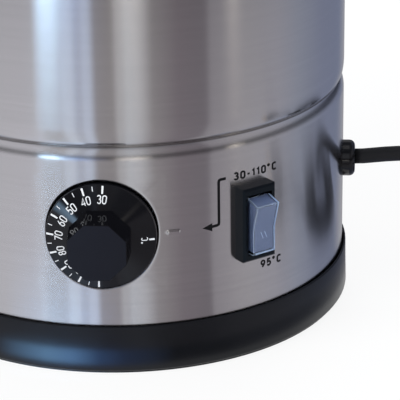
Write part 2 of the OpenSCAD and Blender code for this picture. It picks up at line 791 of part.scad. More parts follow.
module gauge_glass() color([0.8, 0.9, 0.95, 0.35]) translate([0, -glass_y, 0])
    ring_z(glass_r - 1.5, glass_r, glass_foot + 0.2, glass_top - 0.5);

module gauge_guard() color("silver") translate([0, -glass_y, 0]) {
    guard_in = glass_r + 3.4;
    front_w = 11;
    difference() {
        ring_z(guard_in, guard_in + 0.8, tap_z + 25, glass_top - 11);
        block([-front_w / 2, -guard_in - 2, 0], [front_w / 2, 0, body_top]);
    }
}

module gauge_bracket() color([0.06, 0.06, 0.06]) {
    low = glass_top - 10;
    difference() {
        union() {
            translate([0, -glass_y, 0]) bar_z(10.5, low, glass_top + 5);
            block([-8, -glass_y, low], [8, -R + 4, glass_top + 5]);
        }
        bar_z(R, 0, body_top);
        translate([0, -glass_y, 0]) bar_z(glass_r + 0.3, low - 1, glass_top);
        translate([0, -glass_y, 0]) bar_z(1.5, low, glass_top + 6);
        translate([0, 0, glass_top - 1]) bar_y(2 + fit, -glass_y + glass_r, -R + 5);
    }
}

module gauge_screw() color("gainsboro") translate([0, 0, glass_top - 1]) {
    bar_y(3.5, -R_in + 0.1, -R_in + 2.4);
    bar_y(2, -R - 6.5, -R_in + 0.2);
}

// Carrying handles, built at +X
module handle() {
    half = handle_span / 2;
    base_w = 13;
    difference() {
        union() {
            both_sides() {
                translate([0, half, handle_z]) {
                    bar_x(grip_r, R - 12, post_x);
                    bar_x(base_w, R - 12, R - 2.5);
                }
                translate([post_x, half - turn_r, handle_z]) rotate_extrude(angle = 90)
                    translate([turn_r, 0]) circle(r = grip_r);
            }
            translate([post_x + turn_r, 0, handle_z]) bar_y(grip_r, turn_r - half, half - turn_r);
        }
        bar_z(R, handle_z - 20, handle_z + 20);
        both_sides() translate([0, half, handle_z]) bar_x(2.5 + fit, R - 13, post_x - 5);
    }
}

module handle_right() color([0.05, 0.05, 0.05]) handle();

module handle_left() color([0.05, 0.05, 0.05]) mirror([1, 0, 0]) handle();

module on_handle_posts() for (side = [0, 1]) mirror([side, 0, 0]) both_sides()
    translate([0, handle_span / 2, handle_z]) children();

module handle_screws() color("gainsboro") on_handle_posts() {
    bar_x(5, R - 16.5, R - 13.5);
    bar_x(2.5, R - 13.5, post_x - 6);
}

module handle_washers() color("silver") on_handle_posts() difference() {
    bar_x(6, R - 13.5, R - 12);
    bar_x(2.5 + fit, R - 14, R - 11);
}

// Lid
// Points over the dome from its edge to its top, t below its surface
function dome_edge_points(t) =
    arc(0, dome_peak - dome_r, dome_r - t, 90 - dome_end, 90, 12);

module lid_dome() color("silver") {
    skirt = tank_r - 2.6;
    vent_holes = 3;
    difference() {
        rotate_extrude() polygon(concat(
            [[skirt - sheet_t, lid_z - 12], [skirt, lid_z - 12], [skirt, lid_z]],
            arc(tank_r + 6.6, lid_z + 1, 1, -90, 90, 6),
            [[dome_edge + 2, lid_z + 2]],
            dome_edge_points(0),
            backwards(dome_edge_points(sheet_t)),
            [[skirt - sheet_t, lid_z + 0.4]]));
        bar_z(2.6, dome_peak - 5, dome_peak + 5);
        for (i = [0:vent_holes - 1]) rotate([0, 0, 80 + 10 * i]) translate([72, 0, 0])
            bar_z(2, lid_z, dome_peak + 5);
    }
}

module lid_knob() color([0.05, 0.05, 0.05]) difference() {
    rotate_extrude() polygon(concat(
        [[0, knob_foot], [11, knob_foot], [10, knob_foot + 7]],
        arc(knob_d / 2 - 6, knob_foot + 13, 6, -60, 60, 8),
        [[knob_d / 2 - 8, knob_foot + 20], [0, knob_foot + 21]]));
    bar_z(2.5 + fit, knob_foot - 1, knob_foot + 12);
}

module lid_washer() color("dimgray") ring_z(2.6, 12.5, dome_peak, knob_foot);

module lid_screw() color("gainsboro") {
    under = dome_peak - sheet_t - 0.05;
    bar_z(5, under - 3, under);
    bar_z(2.5, under, knob_foot + 11);
}

foot_ring();
base_ring();
bottom_plate();
base_screws();
outer_skin();
inner_tank();
rim_ring();
heat_plate();
heating_element();
element_terminals();
preset_thermostat();
sensor_bulbs();
bulb_clips();
capillaries();
thermostat_body();
thermostat_screws();
cutout_body();
cutout_nut();
terminal_block();
earth_stud();
internal_wires();
switch_frame();
switch_body();
switch_terminals();
cord_gland();
gland_nut();
mains_cord();
cord_coil();
cord_tail();
coil_tie();
plug_body();
plug_pins();
tap_body();
tap_washers();
tap_nut();
tap_bonnet();
lever_pin();
tap_spring();
gauge_tee();
gauge_seals();
gauge_glass();
gauge_guard();
gauge_bracket();
gauge_screw();
handle_left();
handle_right();
handle_screws();
handle_washers();
dial_knob();
dial_spindle();
rocker();
switch_cap();
tap_lever();
tap_stem();
tap_seat_cup();
lid_dome();
lid_knob();
lid_washer();
lid_screw();
reset_button();
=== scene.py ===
# A double-walled hot water urn: brushed steel body, black base, thermostat dial, rocker switch,
# mains lead, tap with sight gauge, two carrying handles and a lid.
# Lengths are in metres, +Z is up, and the dial faces +X.
import bpy
import bmesh
from math import acos, atan2, cos, degrees, hypot, pi, radians, sin, sqrt
from mathutils import Matrix, Vector


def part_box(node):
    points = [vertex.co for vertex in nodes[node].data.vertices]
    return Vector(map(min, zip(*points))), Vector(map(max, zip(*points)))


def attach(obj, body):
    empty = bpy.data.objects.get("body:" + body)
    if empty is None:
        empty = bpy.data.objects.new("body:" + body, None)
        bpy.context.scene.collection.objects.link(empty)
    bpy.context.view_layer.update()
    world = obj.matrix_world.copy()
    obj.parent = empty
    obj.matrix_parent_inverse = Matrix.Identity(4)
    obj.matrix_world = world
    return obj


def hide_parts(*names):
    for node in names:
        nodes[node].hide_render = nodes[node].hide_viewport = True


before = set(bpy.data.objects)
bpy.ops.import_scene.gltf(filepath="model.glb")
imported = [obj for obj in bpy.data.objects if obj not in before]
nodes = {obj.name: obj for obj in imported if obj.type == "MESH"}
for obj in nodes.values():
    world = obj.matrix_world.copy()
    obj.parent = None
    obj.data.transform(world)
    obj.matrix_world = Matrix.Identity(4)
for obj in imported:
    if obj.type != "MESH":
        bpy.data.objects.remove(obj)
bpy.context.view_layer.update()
scene = bpy.context.scene
scene.view_settings.view_transform = "Standard"


# ---------------------------------------------------------------------------------------------
# Camera: a long lens at chest height, a little above the urn and to the right of the dial.
camera_side = radians(5.59)
camera_away, camera_height = 1.29859, 0.57115
camera_pan, camera_tilt, camera_roll = radians(2.0802), radians(21.8255), radians(-0.75467)
focal_length, film_width = 203.3, 36

camera_data = bpy.data.cameras.new("camera")
camera_data.lens = focal_length
camera_data.sensor_width = film_width
camera_data.clip_start, camera_data.clip_end = 0.05, 50
camera = bpy.data.objects.new("camera", camera_data)
scene.collection.objects.link(camera)
scene.camera = camera

up = Vector((0, 0, 1))
toward = Vector((-cos(camera_side), -sin(camera_side), 0))
across = Vector((-sin(camera_side), cos(camera_side), 0))
look = (across * sin(camera_pan) + toward * cos(camera_pan)) * cos(camera_tilt) - up * sin(camera_tilt)
level = look.cross(up).normalized()
head = level.cross(look)
right = level * cos(camera_roll) + head * sin(camera_roll)
top = head * cos(camera_roll) - level * sin(camera_roll)
turn = Matrix((right, top, -look)).transposed().to_4x4()
camera.matrix_world = Matrix.Translation(-toward * camera_away + up * camera_height) @ turn


# ---------------------------------------------------------------------------------------------
# Studio: a plain pale floor, soft lamps, and a shell of glowing cards round the urn that only
# polished surfaces see: a low kerb close to the base, a floor card, a wall and a ceiling. Their glow
# is painted reflection: light and dark bands, a window and glints laid out for the steel to show.
def new_material(name):
    """An empty node material, with its tree and its output."""
    mat = bpy.data.materials.new(name)
    mat.use_nodes = True
    mat.node_tree.nodes.clear()
    out = mat.node_tree.nodes.new("ShaderNodeOutputMaterial")
    return mat, mat.node_tree, out


def add(tree, kind, **settings):
    """A shader node. A setting with a socket's name, or i0, i1 and so on for sockets by number,
    sets or links that socket, and any other is the node's own."""
    made = tree.nodes.new("ShaderNode" + kind)
    for key, value in settings.items():
        if hasattr(made, key) and key not in made.inputs:
            setattr(made, key, value)
            continue
        socket = made.inputs[int(key[1:])] if key[0] == "i" and key[1:].isdigit() else made.inputs[key]
        if isinstance(value, bpy.types.NodeSocket):
            tree.links.new(value, socket)
        else:
            socket.default_value = value
    return made


def maths(tree, operation, *values):
    """The result of a Math node on numbers and sockets."""
    return add(tree, "Math", operation=operation,
               **{f"i{i}": v for i, v in enumerate(values)}).outputs[0]


def ramp(tree, factor, stops):
    """A colour ramp through (place, colour) stops."""
    made = add(tree, "ValToRGB", Fac=factor)
    points = made.color_ramp.elements
    points.remove(points[0])
    points[0].position = stops[0][0]
    points[0].color = (*stops[0][1], 1)
    for place, colour in stops[1:]:
        points.new(place).color = (*colour, 1)
    return made.outputs["Color"]


def sloped(tree, value, start, end, first, last):
    """A value that goes from first to last as another goes from start to end."""
    return add(tree, "MapRange", Value=value, i1=start, i2=end, i3=first, i4=last).outputs[0]


def blend(tree, share, first, second, way="MIX"):
    """The second colour laid over the first, by share."""
    return add(tree, "MixRGB", blend_type=way, Fac=share, Color1=first, Color2=second).outputs[0]


def off_axis(tree, x, y):
    """How far a place is from the urn's axis."""
    squares = [maths(tree, "MULTIPLY", v, v) for v in (x, y)]
    return maths(tree, "SQRT", maths(tree, "ADD", *squares))


def finished(bm, name, smooth=True):
    """The object that a bmesh becomes, with its faces turned outward."""
    bmesh.ops.recalc_face_normals(bm, faces=bm.faces)
    mesh = bpy.data.meshes.new(name)
    bm.to_mesh(mesh)
    bm.free()
    for face in mesh.polygons:
        face.use_smooth = smooth
    made = bpy.data.objects.new(name, mesh)
    scene.collection.objects.link(made)
    return made


def circle(radius, count):
    """Points round a circle."""
    return [(radius * cos(2 * pi * k / count), radius * sin(2 * pi * k / count)) for k in range(count)]


def bridged(bm, rings, closed=False):
    """Faces from each ring of points to the next, and from the last to the first if closed."""
    faces = []
    for low, high in zip(rings, rings[1:] + (rings[:1] if closed else [])):
        for k in range(len(low)):
            after = (k + 1) % len(low)
            corners = list(dict.fromkeys([low[k], low[after], high[after], high[k]]))
            faces.append(bm.faces.new(corners))
    return faces


def lathe(outline, steps, name):
    """A mesh turned about the Z axis from (radius, height) points."""
    bm = bmesh.new()
    bridged(bm, [[bm.verts.new((x, y, height)) for x, y in circle(radius, steps)] if radius
                 else [bm.verts.new((0, 0, height))] * steps for radius, height in outline])
    return finished(bm, name)


def shown(tree):
    """1 for what the camera, a polished surface or glass sees, and 0 for what light falls from."""
    path = add(tree, "LightPath")
    seen = maths(tree, "MAXIMUM", path.outputs["Is Camera Ray"], path.outputs["Is Glossy Ray"])
    return maths(tree, "MAXIMUM", seen, path.outputs["Is Transmission Ray"])


sky_level, white = 0.62, (1, 1, 1, 1)
world = bpy.data.worlds.new("white room")
scene.world = world
world.use_nodes = True
tree = world.node_tree
tree.nodes.clear()
sky = add(tree, "Background", Color=(0.94, 0.97, 1, 1), Strength=sky_level)
background = add(tree, "Background", Color=white, Strength=1.0)
mixed = add(tree, "MixShader", i0=shown(tree), i1=sky.outputs[0], i2=background.outputs[0])
add(tree, "OutputWorld", Surface=mixed.outputs[0])

floor_white = 0.86
floor = lathe([(0, 0), (9, 0)], 64, "floor")
paint, tree, out = new_material("pale floor")
cloth = add(tree, "BsdfPrincipled", Roughness=0.9, **{"Base Color": (0.86, 0.86, 0.87, 1)})
glow = add(tree, "Emission", Color=white, Strength=1.0)
share = maths(tree, "MULTIPLY", shown(tree), floor_white)
mixed = add(tree, "MixShader", i0=share, i1=cloth.outputs[0], i2=glow.outputs[0])
tree.links.new(mixed.outputs[0], out.inputs["Surface"])
floor.data.materials.append(paint)

lamps_aim = Vector((0, 0, 0.15))


def lamp(name, place, size, power, colour):
    """A soft lamp that points at the middle of the urn and leaves no mirror image of itself."""
    data = bpy.data.lights.new(name, "AREA")
    data.size, data.energy, data.color = size, power, colour
    made = bpy.data.objects.new(name, data)
    scene.collection.objects.link(made)
    made.location = place
    made.rotation_euler = (lamps_aim - Vector(place)).to_track_quat("-Z", "Y").to_euler()
    made.visible_camera = made.visible_glossy = False


lamp("key lamp", (1.3, -1.2, 1.7), 1.2, 34, (1, 0.98, 0.95))
lamp("fill lamp", (0.9, 1.7, 1.2), 1.4, 18, (0.9, 0.95, 1))
lamp("back lamp", (-1.6, 0.2, 1.9), 1.4, 24, (1, 1, 1))

# The cards' tones, by the direction in which the steel throws back the rays that meet them, in
# degrees from the dial: glowing tones that paint the reflections on the steel. card_tones are for
# the floor card and the wall, and near_tones for the kerb and its faint spill on the floor card, a
# painted bluish reflection low on the base and the drum. The painted window and the two painted
# glints stand low on the wall and put painted highlights on the groove and the dial's scale.
card_tones = [
    (-180, (0.42, 0.42, 0.45)), (-150, (0.95, 0.96, 1.0)), (-120, (0.90, 0.96, 1.1)),
    (-112, (0.34, 0.42, 0.62)), (-78, (0.34, 0.36, 0.44)), (-70, (0.70, 0.70, 0.75)),
    (-43, (0.72, 0.72, 0.79)), (-36, (0.76, 0.78, 0.86)), (-34, (0.60, 0.60, 0.64)),
    (-25, (0.60, 0.60, 0.64)), (-22.5, (0.80, 0.86, 0.97)), (-18.5, (0.80, 0.86, 0.97)),
    (-16.8, (0.62, 0.66, 0.77)), (-14.2, (0.62, 0.65, 0.75)),
    (-12.6, (0.76, 0.83, 0.99)), (-9.6, (0.75, 0.82, 0.98)), (-7, (0.43, 0.41, 0.43)),
    (1.5, (0.41, 0.39, 0.41)), (4.6, (0.64, 0.65, 0.69)), (6.0, (0.55, 0.55, 0.59)),
    (8.0, (0.67, 0.70, 0.76)), (14.5, (0.62, 0.63, 0.68)), (21, (0.39, 0.37, 0.39)),
    (34, (0.27, 0.24, 0.27)), (48.5, (0.24, 0.22, 0.25)), (50.5, (0.38, 0.36, 0.40)),
    (72, (0.47, 0.46, 0.50)), (92, (0.45, 0.45, 0.52)), (108, (0.37, 0.40, 0.50)),
    (130, (0.27, 0.30, 0.42)), (158, (0.22, 0.25, 0.36)), (180, (0.42, 0.42, 0.45))]
black = (0, 0, 0)
painted_window_tones = [
    (-37, black), (-32.5, (4.4, 6.5, 9.0)), (-27, (4.4, 6.5, 9.0)), (-22, (1.0, 1.7, 3.0)),
    (-16, (0.45, 0.8, 1.7)), (-8, (0.05, 0.1, 0.3)), (0, black)]
painted_glint_tones = [
    (0, black), (8, (3.0, 2.8, 2.6)), (13, (3.0, 2.8, 2.55)), (21, black),
    (56, black), (62, (2.6, 2.4, 2.1)), (69, black)]
near_tones = [
    (-180, (0.5, 0.5, 0.55)), (-60, (0.9, 1.1, 1.5)), (-34, (4.4, 8.9, 15.0)), (-22, (3.5, 7.4, 14.0)),
    (-9, (1.0, 2.1, 4.8)), (3, (0.5, 0.85, 1.9)), (16, (0.40, 0.6, 1.15)), (27, (0.06, 0.06, 0.08)),
    (50, (0.06, 0.06, 0.07)), (62, (0.20, 0.20, 0.24)), (110, (0.22, 0.24, 0.3)), (180, (0.5, 0.5, 0.55))]
ceiling_tones = [(0, (1.0, 1.0, 1.0)), (0.40, (0.95, 0.96, 1.0)), (0.44, (0.25, 0.26, 0.3)),
                 (1, (0.1, 0.11, 0.13))]
brightest = 15
# How much of its tone the wall keeps, by height. Between its foot and its top it is dark, a
# painted dark band in the steel's reflections.
wall_share = [(0.01, 1.0), (0.06, 0.18), (0.27, 0.18), (0.36, 1.0)]
card_radius, card_height, card_lift, ceiling_foot = 1.0, 1.3, 0.0006, 0.8
kerb_radius, kerb_height, kerb_edge = 0.146, 0.0115, 0.001
spill_share, spill_from, spill_to = 0.04, 0.16, 0.30
# The painted window and glints, with the heights where each begins and ends.
low_cards = ((painted_window_tones, 0.012, 0.11), (painted_glint_tones, 0.06, 0.13))
foot_fade, top_fade = 0.018, 0.02
# The direction that the steel is seen from, in degrees from the dial.
seen_from = 6.8


def corner(name, side, axis):
    """One side of a node's box: side 0 is the low one, 1 the high one."""
    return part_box(name)[side]["xyz".index(axis)]


body_radius = corner("outer_skin", 1, "y")
cards = lathe([(kerb_radius, kerb_height), (kerb_radius, card_lift), (card_radius, card_lift),
               (card_radius, card_height), (0.9, 1.6), (0.55, 1.8), (0, 1.85)], 128, "painted reflection cards")
paint, tree, out = new_material("painted reflection cards")
x, y, z = add(tree, "SeparateXYZ", Vector=add(tree, "NewGeometry").outputs["Position"]).outputs
distance = off_axis(tree, x, y)
bearing = maths(tree, "MULTIPLY", maths(tree, "ARCTAN2", y, x), 180 / pi)
# A thrown ray starts at the drum's side. Where it meets a card, its bearing is pulled toward
# seen_from, by half the drum's radius over the distance.
pull = maths(tree, "DIVIDE", body_radius / 2, distance)
thrown = maths(tree, "DIVIDE", maths(tree, "SUBTRACT", bearing, maths(tree, "MULTIPLY", pull, seen_from)),
               maths(tree, "SUBTRACT", 1, pull))
share = maths(tree, "ADD", maths(tree, "DIVIDE", thrown, 360), 0.5)


def by_direction(tones, level=1):
    """A ramp through tones by direction, dimmed by level."""
    return ramp(tree, share, [((a + 180) / 360, tuple(v / level for v in c)) for a, c in tones])


def bright(tones):
    """Tones brighter than white: a ramp holds them dimmed, and they are raised again after it."""
    raised = (brightest, brightest, brightest, 1)
    return blend(tree, 1.0, by_direction(tones, brightest), raised, "MULTIPLY")


kept = ramp(tree, z, [(height, (part, part, part)) for height, part in wall_share])
near = sloped(tree, distance, kerb_radius + kerb_edge, kerb_radius + 2 * kerb_edge, 1, 0)
spill = sloped(tree, distance, spill_from, spill_to, spill_share, 0)
tone = blend(tree, kept, (0, 0, 0, 1), by_direction(card_tones))
tone = blend(tree, maths(tree, "MAXIMUM", near, spill), tone, bright(near_tones))
for tones, foot, top_edge in low_cards:
    rising = sloped(tree, z, foot, foot + foot_fade, 0, 1)
    falling = sloped(tree, z, top_edge - top_fade, top_edge + top_fade, 1, 0)
    tone = blend(tree, maths(tree, "MULTIPLY", rising, falling), tone, bright(tones), "ADD")
high = sloped(tree, z, ceiling_foot, card_height, 0, 1)
tone = blend(tree, high, tone, ramp(tree, distance, ceiling_tones))
# The cards glow though they are no lamp: their tones are painted reflections, seen only in polished
# surfaces.
glow = add(tree, "Emission", Color=tone, Strength=1.0)
tree.links.new(glow.outputs[0], out.inputs["Surface"])
paint.cycles.emission_sampling = "NONE"
cards.data.materials.append(paint)
cards.visible_camera = cards.visible_diffuse = cards.visible_shadow = cards.visible_transmission = False


# ---------------------------------------------------------------------------------------------
# Mains lead: a round black rubber cable out of the gland, down to the table and into a tied
# coil of two layers, with a moulded plug on its end.
cord_thick = 0.0092
# In millimetres: the points that the lead passes, and the sizes of its coil.
lead_points = [
    (0, 142.3, 82.5), (0, 147, 82.6), (0, 153, 83.2), (0, 161, 84), (0, 169, 84.5), (0, 178, 84.5),
    (0, 189.5, 83), (0, 200.5, 78.5), (0, 210, 71.5), (0, 217, 62), (0, 222, 50),
    (0, 226.5, 37.5), (0, 234, 28), (0, 243, 21), (0, 254, 16.5), (0, 265.5, 14.6)]
tail_points = [
    (11, 277, 5.4), (12.6, 284, 5.4), (15.3, 290.5, 5.4), (19, 296.5, 5.4), (23.6, 302, 5.8),
    (29, 306.5, 6.7), (35, 310, 8.2), (41.5, 312.8, 9.7), (48.4, 314.6, 10.8), (55, 315, 11)]
coil_middle = (-56.4, 270)
coil_inside, upper_outside, lower_outside = 38, 56.4, 66.8
upper_height, lower_height = 14.6, 5.4
upper_turns, dip_turns, lower_turns = 1.75, 0.25, 3
points_a_turn = 20


def eased(t):
    """0 to 1 with a soft start and a soft end."""
    return t * t * (3 - 2 * t)


def coil_points():
    """The upper layer winds inward, dips through the middle, and the lower one winds outward."""
    points = []
    total = upper_turns + dip_turns + lower_turns
    for i in range(round(total * points_a_turn) + 1):
        wound = i / points_a_turn
        if wound < upper_turns:
            reach = upper_outside + (coil_inside - upper_outside) * wound / upper_turns
            height = upper_height
        elif wound < upper_turns + dip_turns:
            reach = coil_inside
            height = upper_height + (lower_height - upper_height) * eased((wound - upper_turns) / dip_turns)
        else:
            part = (wound - upper_turns - dip_turns) / lower_turns
            reach = coil_inside + (lower_outside - coil_inside) * part
            height = lower_height
        turned = 2 * pi * wound
        points.append((coil_middle[0] + reach * cos(turned), coil_middle[1] + reach * sin(turned), height))
    return points


def solid(bm, rings):
    """A solid through rings of points, closed at both ends. Gives its sides and its last end."""
    sides = bridged(bm, rings)
    bm.faces.new(rings[0][::-1])
    return sides, bm.faces.new(rings[-1])


def swept(bm, points, radius, sides=16):
    """A round bar along points."""
    rings, side = [], None
    for i, point in enumerate(points):
        ahead = (points[min(i + 1, len(points) - 1)] - points[max(i - 1, 0)]).normalized()
        side = ahead.orthogonal() if side is None else side
        side = (side - ahead * side.dot(ahead)).normalized()
        other = ahead.cross(side)
        rings.append([bm.verts.new(point + (side * x + other * y) * radius) for x, y in circle(1, sides)])
    solid(bm, rings)


cord_points = [Vector(p) / 1000 for p in lead_points + coil_points() + tail_points]
bm = bmesh.new()
swept(bm, cord_points, cord_thick / 2)
mains_lead = finished(bm, "mains_lead")
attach(mains_lead, "root")
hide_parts("mains_cord", "cord_coil", "cord_tail")


# ---------------------------------------------------------------------------------------------
# Finish of the lead: soft black rubber, dull where it is handled, with a fine pressed skin.
def new_group(name, takes, gives):
    """A shader node group of values, with the sockets that its inside takes from and gives to."""
    group = bpy.data.node_groups.new(name, "ShaderNodeTree")
    for label, value in takes.items():
        socket = group.interface.new_socket(label, in_out="INPUT", socket_type="NodeSocketFloat")
        socket.default_value = value
    for label in gives:
        group.interface.new_socket(label, in_out="OUTPUT", socket_type="NodeSocketFloat")
    return group, group.nodes.new("NodeGroupInput").outputs, group.nodes.new("NodeGroupOutput").inputs


def grain_group():
    """Fine grain of a moulded skin, and slow mottling, both as heights from 0 to 1."""
    group, takes, gives = new_group(
        "moulded grain", {"Grain Size": 0.0005, "Mottle Size": 0.03}, ["Grain", "Mottle"])
    place = add(group, "TexCoord").outputs["Object"]
    for label, detail in (("Grain", 2), ("Mottle", 3)):
        scale = maths(group, "DIVIDE", 1, takes[label + " Size"])
        noise = add(group, "TexNoise", Vector=place, Scale=scale, Detail=detail)
        group.links.new(noise.outputs["Fac"], gives[label])
    return group


moulded_grain = grain_group()


def bumped(tree, height, depth):
    """A normal from a height that is depth metres deep."""
    return add(tree, "Bump", Height=height, Distance=depth).outputs[0]


def moulded(name, dark, pale, rough, grain_size=0.0005, depth=0.00002, specular=0.5, mottle_size=0.03,
            **sockets):
    """A moulded plastic or rubber: two near tones that mottle, a spread of roughness, a fine skin.
    A depth of 0 leaves the skin out."""
    mat, tree, out = new_material(name)
    grain = add(tree, "Group", node_tree=moulded_grain,
                **{"Grain Size": grain_size, "Mottle Size": mottle_size})
    mottle = grain.outputs["Mottle"]
    if depth:
        sockets["Normal"] = bumped(tree, grain.outputs["Grain"], depth)
    colour = blend(tree, mottle, (*dark, 1), (*pale, 1))
    shader = add(tree, "BsdfPrincipled", Roughness=sloped(tree, mottle, 0, 1, *rough),
                 **{"Base Color": colour, "Specular IOR Level": specular}, **sockets)
    tree.links.new(shader.outputs[0], out.inputs["Surface"])
    return mat


def finish_nodes(mat, *names):
    """These CAD nodes take this material in every slot."""
    for name in names:
        for held in nodes[name].material_slots:
            held.material = mat


def softened(name, width):
    """A CAD node's sharp edges rounded over, as a mould or a tumbler leaves them."""
    mesh = nodes[name].data
    for held in ("custom_normal", "sharp_edge", "sharp_face"):
        if held in mesh.attributes:
            mesh.attributes.remove(mesh.attributes[held])
    for face in mesh.polygons:
        face.use_smooth = True
    weld = nodes[name].modifiers.new("joined", "WELD")
    weld.merge_threshold = 0.00001
    bevel = nodes[name].modifiers.new("rounded", "BEVEL")
    bevel.width, bevel.segments = width, 2
    bevel.limit_method, bevel.angle_limit = "ANGLE", radians(30)
    bevel.use_clamp_overlap = True
    bevel.harden_normals = True


cord_rubber = moulded("cord rubber", (0.009, 0.009, 0.010), (0.015, 0.015, 0.017), (0.42, 0.55), 0.0004,
                      specular=0.3)
mains_lead.data.materials.append(cord_rubber)


# ---------------------------------------------------------------------------------------------
# Steel body: one sheet rolled into a drum and brushed round and round, with a groove rolled in,
# a flat pressed for the dial, a pip beside it, and openings cut for what is fitted to it.
sheet_thick = 0.0008
steel_foot, steel_top = corner("outer_skin", 0, "z"), corner("outer_skin", 1, "z")
groove_height, groove_depth = 0.1366, 0.0026
shoulder_round, brow_round = 0.0140, 0.004
lean_round, lean_end = 0.040, 11
crease_half, crease_lip, crease_depth = 0.0005, 0.0002, 0.0025
foot_round = 0.0012
dial_low, dial_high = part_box("dial_knob")
dial_height = (dial_low.z + dial_high.z) / 2
dial_round = (dial_high.z - dial_low.z) / 2
flat_spare, flat_sink, flat_blend, blend_steps = 0.0002, 0.0006, 0.0031, 16
flat_reach = dial_round + flat_spare
flat_place = sqrt(body_radius ** 2 - flat_reach ** 2) - flat_sink
patch_turn, patch_half, flat_plain, spindle_hole = 15.5, 0.0358, 0.03, 0.0055
pip_turn, pip_height, pip_half, pip_reach, pip_rise = 17.3, 0.0849, 0.0026, 0.0019, 0.0005
# Each opening: where it is, and its half width and half height or its radius.
switch_turn, switch_height, switch_wide, switch_tall = 38, 0.084, 0.0102, 0.0207
gland_height = (corner("cord_gland", 0, "z") + corner("cord_gland", 1, "z")) / 2
gland_hole = 0.0081
tap_height, tap_hole = 0.162, 0.0096
# Rows up the drum and columns round it, as (where a stretch ends, how far apart they stand).
rows_below = ((0.047, 0.004), (0.0826, 0.001), (0.0880, 0.0004))
row_below_groove, row_above_groove = 0.001, 0.008
columns_round = ((-96, 1.5), (-84, 0.6), (-patch_turn, 1.5), (patch_turn, 0.5), (19.5, 0.16),
                 (48, 0.5), (84, 1.5), (96, 0.6), (180, 1.5))


def spread(low, high, step):
    """Even places from low to high, about step apart."""
    count = max(1, round((high - low) / step))
    return [low + (high - low) * i / count for i in range(count + 1)]


def stepped(start, *stretches):
    """Places from start through stretches of (end, step)."""
    places = [start]
    for end, step in stretches:
        places += spread(start, end, step)[1:]
        start = end
    return places


def bend(middle_r, middle_z, radius, from_angle, to_angle, steps):
    """(radius, height) points round an arc."""
    return [(middle_r + radius * cos(radians(a)), middle_z + radius * sin(radians(a)))
            for a in spread(from_angle, to_angle, (to_angle - from_angle) / steps)]


def steel_outline():
    """The drum's outline from its foot to its top edge, close-set where it is shaped."""
    shoulder_end = degrees(acos((shoulder_round - groove_depth) / shoulder_round))
    shoulder_z = groove_height - crease_half - shoulder_round * sin(radians(shoulder_end))
    brow_out = body_radius - lean_round + (lean_round - brow_round) * cos(radians(lean_end))
    brow_end = degrees(acos((body_radius - groove_depth - brow_out) / brow_round))
    brow_z = groove_height + crease_half + brow_round * sin(radians(brow_end))
    lean_z = brow_z + (lean_round - brow_round) * sin(radians(lean_end))
    line = bend(body_radius - foot_round, steel_foot + foot_round, foot_round, -90, 0, 4)
    rows = stepped(line[-1][1], *rows_below, (shoulder_z, row_below_groove))
    line += [(body_radius, z) for z in rows[1:]]
    line += bend(body_radius - shoulder_round, shoulder_z, shoulder_round, 0, shoulder_end, 16)[1:]
    for inward, share in ((crease_lip, -1), (crease_depth, 0), (crease_lip, 1)):
        line.append((body_radius - groove_depth - inward, groove_height + share * crease_half))
    line += bend(brow_out, brow_z, brow_round, -brow_end, -lean_end, 10)
    line += bend(body_radius - lean_round, lean_z, lean_round, -lean_end, 0, 10)[1:]
    return line + [(body_radius, z) for z in spread(line[-1][1], steel_top, row_above_groove)[1:]]


def pressed(turn, radius, height):
    """Where a point of the plain drum lies once the pip is pressed."""
    side = max(abs(radians(turn - pip_turn) * radius) - pip_half, 0)
    pip_off = hypot(side, height - pip_height)
    if pip_off < pip_reach:
        radius += pip_rise * (0.5 + 0.5 * cos(pi * pip_off / pip_reach))
    return Vector((radius * cos(radians(turn)), radius * sin(radians(turn)), height))


def flattened(y, z):
    """Where a point near the dial lies once the flat is pressed there."""
    drum = sqrt(body_radius ** 2 - y ** 2)
    part = min(max((hypot(y, z - dial_height) - flat_reach) / flat_blend, 0), 1)
    return Vector((flat_place + (drum - flat_place) * (1 - (1 - part) ** 5), y, z))


def cut_away(place):
    """Whether a point of the drum lies inside one of its openings."""
    turn, z = degrees(atan2(place.y, place.x)), place.z
    switch_off = abs(radians(turn - switch_turn) * body_radius)
    return (switch_off < switch_wide and abs(z - switch_height) < switch_tall
            or hypot(place.x, z - gland_height) < gland_hole and place.y > 0
            or hypot(place.x, z - tap_height) < tap_hole and place.y < 0)


def flat_rings(bm, rim):
    """Rings from the square edge of the gap in the drum in to the hole for the dial's spindle."""
    ways = [atan2(v.co.z - dial_height, v.co.y) for v in rim]
    outer = flat_reach + flat_blend
    reaches = [outer - flat_blend * part / blend_steps for part in range(blend_steps + 1)]
    reaches += [flat_plain, spindle_hole]
    bridged(bm, [rim] + [[bm.verts.new(flattened(reach * cos(a), dial_height + reach * sin(a)))
                          for a in ways] for reach in reaches])


turns = stepped(-180, *columns_round)[:-1]
bm = bmesh.new()
outline = steel_outline()
grid = [[bm.verts.new(pressed(t, r, z)) for t in turns] for r, z in outline]
columns = [k for k, t in enumerate(turns) if abs(t) <= patch_turn]
rows = [i for i, (r, z) in enumerate(outline) if abs(z - dial_height) < patch_half]
for i, (low, high) in enumerate(zip(grid, grid[1:])):
    for k in range(len(turns)):
        after = (k + 1) % len(turns)
        ring = [low[k], low[after], high[after], high[k]]
        in_patch = columns[0] <= k < columns[-1] and rows[0] <= i < rows[-1]
        if not in_patch and not all(cut_away(v.co) for v in ring):
            bm.faces.new(ring)
rim = [grid[rows[0]][k] for k in columns] + [grid[i][columns[-1]] for i in rows[1:]]
rim += [grid[rows[-1]][k] for k in columns[-2::-1]] + [grid[i][columns[0]] for i in rows[-2:0:-1]]
flat_rings(bm, rim)
bmesh.ops.delete(bm, geom=[v for v in bm.verts if not v.link_faces], context="VERTS")
steel_body = finished(bm, "steel_body")
sheet = steel_body.modifiers.new("sheet", "SOLIDIFY")
sheet.thickness, sheet.offset = sheet_thick, -1
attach(steel_body, "root")
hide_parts("outer_skin")


